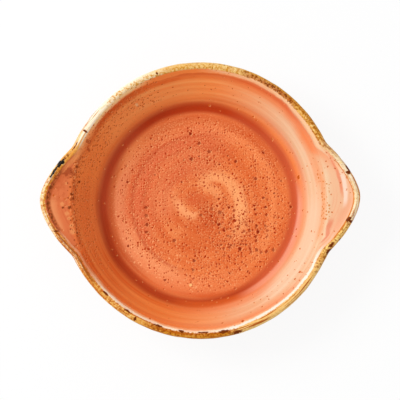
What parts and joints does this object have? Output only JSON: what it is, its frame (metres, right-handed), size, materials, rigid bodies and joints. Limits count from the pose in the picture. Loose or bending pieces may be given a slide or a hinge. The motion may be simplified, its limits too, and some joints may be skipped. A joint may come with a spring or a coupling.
{
  "type": "eared dish",
  "caption": "Round shallow stoneware dish with drawn-out ears at its rim, a low foot ring and a brushed, speckled glaze, for baking and serving food.",
  "frame": {"origin": "middle of the foot ring, on the table the dish stands on", "axes": "+X through the ears, to the right in the picture; +Y up in the picture; +Z up out of the dish"},
  "size_m": [0.208, 0.18, 0.038],
  "materials": {
    "clay": "matte fired clay",
    "slip": "matte fired slip",
    "inside_glaze": "satin gloss, brushed and speckled",
    "edge_glaze": "gloss, streaked gold and brown",
    "outside_glaze": "satin gloss, brushed",
    "base_glaze": "gloss"
  },
  "bodies": {
    "root": {"dish_body": "clay", "left_ear": "clay", "right_ear": "clay", "left_ear_slip": "slip", "right_ear_slip": "slip", "inside_glaze": "inside_glaze", "edge_glaze": "edge_glaze", "outside_glaze": "outside_glaze", "base_glaze": "base_glaze"}
  },
  "joints": []
}
